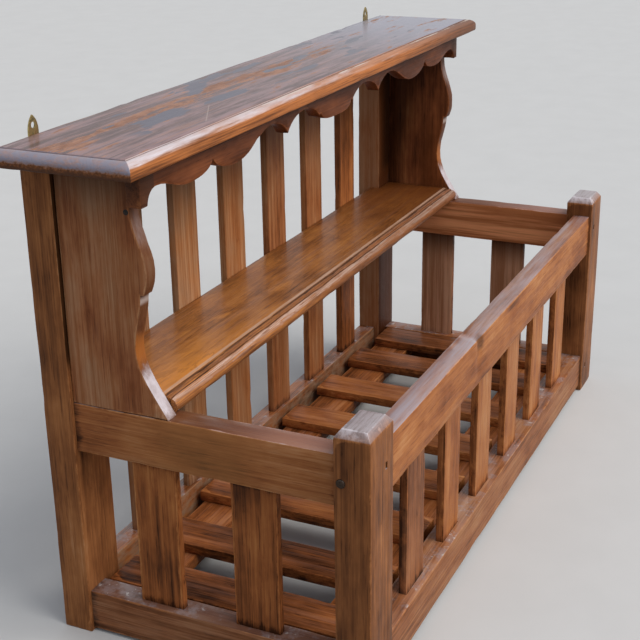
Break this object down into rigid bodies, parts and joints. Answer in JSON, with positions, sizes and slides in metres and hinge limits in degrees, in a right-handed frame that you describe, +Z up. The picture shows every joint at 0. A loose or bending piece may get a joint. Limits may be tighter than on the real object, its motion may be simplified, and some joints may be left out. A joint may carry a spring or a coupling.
{
  "type": "standing shelf rack",
  "caption": "Rustic slatted wooden rack with an open crib, a display shelf between shaped side boards, a scalloped apron and a moulded top board.",
  "frame": {"origin": "on the floor, under the middle of the overall box", "axes": "+X along the length to the right seen from the front, -Y is the front, +Y is the wall side, +Z up"},
  "size_m": [1.0544, 0.4058, 0.616],
  "materials": {
    "post_wood": "waxed dark brown softwood",
    "rail_wood": "waxed orange-brown softwood",
    "slat_wood": "waxed orange-brown softwood",
    "floor_wood": "worn orange-brown softwood",
    "board_wood": "waxed brown softwood",
    "shelf_wood": "waxed golden-brown softwood",
    "top_wood": "worn grey-brown softwood with rubbed patches",
    "peg_wood": "dark end grain",
    "hanger_brass": "aged brass",
    "screw_brass": "aged brass"
  },
  "bodies": {
    "root": {"front_left_post": "post_wood", "front_right_post": "post_wood", "back_left_post": "post_wood", "back_right_post": "post_wood", "front_top_rail": "rail_wood", "front_bottom_rail": "rail_wood", "back_top_rail": "rail_wood", "back_bottom_rail": "rail_wood", "left_top_rail": "rail_wood", "left_bottom_rail": "rail_wood", "right_top_rail": "rail_wood", "right_bottom_rail": "rail_wood", "front_slat_1": "slat_wood", "front_slat_2": "slat_wood", "front_slat_3": "slat_wood", "front_slat_4": "slat_wood", "front_slat_5": "slat_wood", "front_slat_6": "slat_wood", "back_slat_1": "slat_wood", "back_slat_2": "slat_wood", "back_slat_3": "slat_wood", "back_slat_4": "slat_wood", "back_slat_5": "slat_wood", "back_slat_6": "slat_wood", "left_slat_1": "slat_wood", "left_slat_2": "slat_wood", "right_slat_1": "slat_wood", "right_slat_2": "slat_wood", "floor_slat_1": "floor_wood", "floor_slat_2": "floor_wood", "floor_slat_3": "floor_wood", "floor_slat_4": "floor_wood", "floor_slat_5": "floor_wood", "floor_slat_6": "floor_wood", "floor_slat_7": "floor_wood", "floor_slat_8": "floor_wood", "front_floor_ledger": "floor_wood", "back_floor_ledger": "floor_wood", "left_side_board": "board_wood", "right_side_board": "board_wood", "apron": "board_wood", "display_shelf": "shelf_wood", "top_board": "top_wood", "left_top_side_peg": "peg_wood", "left_top_front_peg": "peg_wood", "left_bottom_side_peg": "peg_wood", "left_bottom_front_peg": "peg_wood", "left_hanger": "hanger_brass", "left_hanger_screw_1": "screw_brass", "left_hanger_screw_2": "screw_brass", "right_top_side_peg": "peg_wood", "right_top_front_peg": "peg_wood", "right_bottom_side_peg": "peg_wood", "right_bottom_front_peg": "peg_wood", "right_hanger": "hanger_brass", "right_hanger_screw_1": "screw_brass", "right_hanger_screw_2": "screw_brass"}
  },
  "joints": []
}
